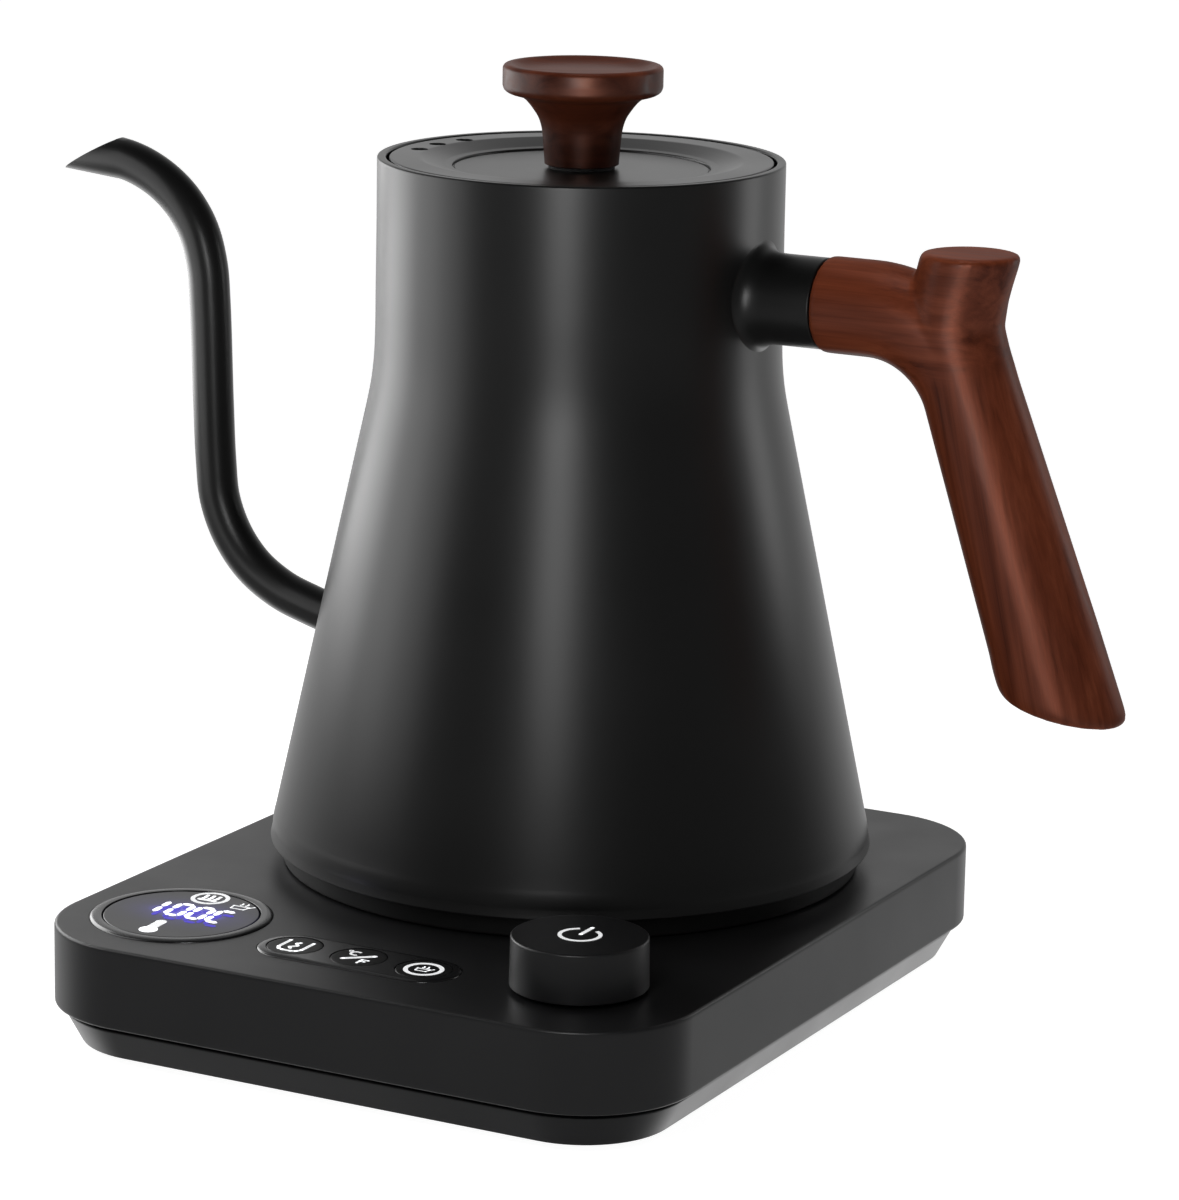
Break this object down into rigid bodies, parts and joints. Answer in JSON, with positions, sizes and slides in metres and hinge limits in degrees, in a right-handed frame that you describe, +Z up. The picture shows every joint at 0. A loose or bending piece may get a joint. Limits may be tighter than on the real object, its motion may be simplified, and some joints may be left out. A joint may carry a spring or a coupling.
{
  "type": "electric gooseneck kettle",
  "caption": "Gooseneck electric kettle with a conical steel body, wooden handle and lid knob, on a flat power base with a round display, push buttons and a control dial.",
  "frame": {"origin": "on the surface it stands on, under the middle of the whole object's box", "axes": "+Z up, +X from the spout towards the handle, -Y towards the front of the base with the display, buttons and dial"},
  "size_m": [0.275, 0.1896, 0.2136],
  "materials": {
    "black_metal": "satin black powder coat",
    "base_plastic": "satin black",
    "dark_plastic": "matte black",
    "walnut": "satin varnish, red-brown",
    "steel": "plain",
    "brass": "plain",
    "rubber": "matte",
    "silicone": "translucent matte",
    "circuit_board": "solder mask",
    "lens": "smoked gloss",
    "relay_blue": "moulded"
  },
  "bodies": {
    "base": {"base_cover": "base_plastic", "base_tray": "dark_plastic", "foot_front_left": "rubber", "foot_front_right": "rubber", "foot_back_left": "rubber", "foot_back_right": "rubber", "tray_screw_front_left": "steel", "tray_screw_front_right": "steel", "tray_screw_back_left": "steel", "tray_screw_back_right": "steel", "display_bezel": "base_plastic", "display_lens": "lens", "display_module": "dark_plastic", "button_panel": "base_plastic", "switch_left": "steel", "switch_middle": "steel", "switch_right": "steel", "control_board": "circuit_board", "buzzer": "dark_plastic", "encoder_housing": "steel", "power_board": "circuit_board", "relay": "relay_blue", "capacitor": "dark_plastic", "connector_tower": "dark_plastic", "connector_outer_ring": "brass", "connector_inner_ring": "brass", "connector_pin": "brass", "cord_bush": "rubber"},
    "connector_shutter": {"connector_shutter": "dark_plastic"},
    "kettle": {"kettle_body": "black_metal", "spout": "black_metal", "handle_collar": "black_metal", "wood_handle": "walnut", "handle_stud": "steel", "handle_insert": "brass", "heater_plate": "steel", "heating_element": "steel", "thermal_cutout": "dark_plastic", "temperature_probe": "steel", "probe_seal": "silicone", "bottom_cover": "dark_plastic", "socket_housing": "dark_plastic", "socket_outer_contact": "brass", "socket_pin_contact": "brass", "bottom_screw_1": "steel", "bottom_screw_2": "steel", "bottom_screw_3": "steel"},
    "lid_seal": {"lid_seal": "silicone"},
    "lid": {"lid_plate": "black_metal", "lid_liner": "black_metal", "lid_knob": "walnut", "knob_washer": "rubber", "knob_screw": "steel"},
    "button_left": {"button_left": "base_plastic"},
    "button_middle": {"button_middle": "base_plastic"},
    "button_right": {"button_right": "base_plastic"},
    "encoder_plunger": {"encoder_plunger": "steel"},
    "dial": {"control_dial": "base_plastic", "dial_shaft": "steel"}
  },
  "joints": [
    {"name": "kettle_swivel", "type": "hinge", "parent": "base", "child": "connector_shutter", "pos_m": [0.0019, 0.0216, 0.03], "axis": [0, 0, 1], "continuous": true},
    {"name": "kettle_lift", "type": "slide", "parent": "connector_shutter", "child": "kettle", "axis": [0, 0, 1], "range_m": [0, 0.08]},
    {"name": "lid_lift", "type": "slide", "parent": "kettle", "child": "lid_seal", "axis": [0, 0, 1], "range_m": [0, 0.05]},
    {"name": "lid_turn", "type": "hinge", "parent": "lid_seal", "child": "lid", "pos_m": [0.0019, 0.0216, 0.19], "axis": [0, 0, 1], "continuous": true},
    {"name": "button_left_press", "type": "slide", "parent": "base", "child": "button_left", "axis": [0, 0, -1], "range_m": [0, 0.0006], "stiffness_N_per_m": 2000, "springref_m": -0.0003},
    {"name": "button_middle_press", "type": "slide", "parent": "base", "child": "button_middle", "axis": [0, 0, -1], "range_m": [0, 0.0006], "stiffness_N_per_m": 2000, "springref_m": -0.0003},
    {"name": "button_right_press", "type": "slide", "parent": "base", "child": "button_right", "axis": [0, 0, -1], "range_m": [0, 0.0006], "stiffness_N_per_m": 2000, "springref_m": -0.0003},
    {"name": "dial_press", "type": "slide", "parent": "base", "child": "encoder_plunger", "axis": [0, 0, -1], "range_m": [0, 0.0007], "stiffness_N_per_m": 3000, "springref_m": -0.0003},
    {"name": "dial_turn", "type": "hinge", "parent": "encoder_plunger", "child": "dial", "pos_m": [0.0512, -0.0663, 0.04], "axis": [0, 0, 1], "continuous": true}
  ]
}
